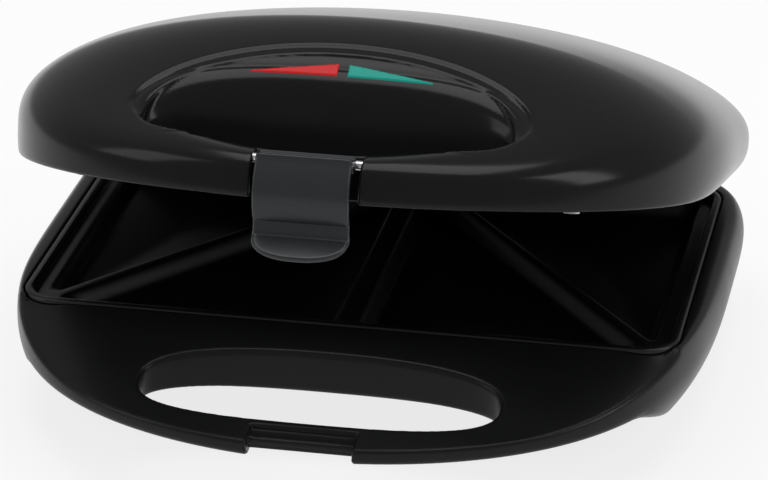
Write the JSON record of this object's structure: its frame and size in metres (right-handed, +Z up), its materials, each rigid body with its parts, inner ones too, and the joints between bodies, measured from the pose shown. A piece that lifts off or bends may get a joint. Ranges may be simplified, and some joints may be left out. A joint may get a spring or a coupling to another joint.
{
  "type": "sandwich toaster",
  "caption": "Countertop sandwich toaster with a hinged lid standing ajar, non-stick pocket plates, open finger handles, a swinging front clip and two indicator lenses.",
  "frame": {"origin": "middle of the resting footprint on the table, under the part as it stands with its lid ajar", "axes": "+Z up, -Y towards the handles and the clip, +Y towards the hinge, +X to the right as seen from the handles"},
  "size_m": [0.232, 0.2325, 0.1313],
  "materials": {
    "base_plastic": "satin black moulded plastic",
    "lid_plastic": "high-gloss black moulded plastic",
    "clip_plastic": "satin dark grey moulded plastic",
    "coated_plate": "cast aluminium with a black non-stick coat",
    "element_steel": "heat-dulled steel tube",
    "shield_metal": "pressed sheet metal",
    "fastener_steel": "zinc-plated steel",
    "pin_steel": "bright drawn steel",
    "brass": "brass",
    "ceramic": "white ceramic body",
    "sleeve": "woven glass-fibre sleeve",
    "foot_rubber": "black rubber",
    "red_lens": "clear red moulded lens",
    "green_lens": "clear green moulded lens",
    "lamp_glass": "neon lamp glass",
    "board": "phenolic board"
  },
  "bodies": {
    "base": {"base_shell": "base_plastic", "base_handle_cover": "base_plastic", "base_cover_screws": "fastener_steel", "base_plate": "coated_plate", "base_element": "element_steel", "base_heat_shield": "shield_metal", "base_plate_screws": "fastener_steel", "thermostat": "ceramic", "thermostat_bracket": "shield_metal", "thermal_fuse": "ceramic", "fuse_strap": "shield_metal", "base_small_screws": "fastener_steel", "terminal_block": "ceramic", "terminal_screws": "brass", "cord_gland": "foot_rubber", "feet": "foot_rubber", "hinge_pins": "pin_steel", "lid_leads": "sleeve"},
    "lid": {"lid_shell": "lid_plastic", "lid_handle_cover": "base_plastic", "lid_cover_screws": "fastener_steel", "lid_plate": "coated_plate", "lid_element": "element_steel", "lid_heat_shield": "shield_metal", "lid_shield_screws": "fastener_steel", "lid_plate_screws": "fastener_steel", "red_lens": "red_lens", "green_lens": "green_lens", "neon_lamps": "lamp_glass", "lamp_board": "board", "lamp_board_screws": "fastener_steel", "latch_pin": "pin_steel"},
    "latch": {"latch_clip": "clip_plastic"}
  },
  "joints": [
    {"name": "lid_hinge", "type": "hinge", "parent": "base", "child": "lid", "pos_m": [0, 0.1118, 0.04], "axis": [-1, 0, 0], "range_deg": [-17, 88]},
    {"name": "latch_hinge", "type": "hinge", "parent": "lid", "child": "latch", "pos_m": [0, -0.09305, 0.1156], "axis": [-1, 0, 0], "range_deg": [-4, 70]}
  ]
}
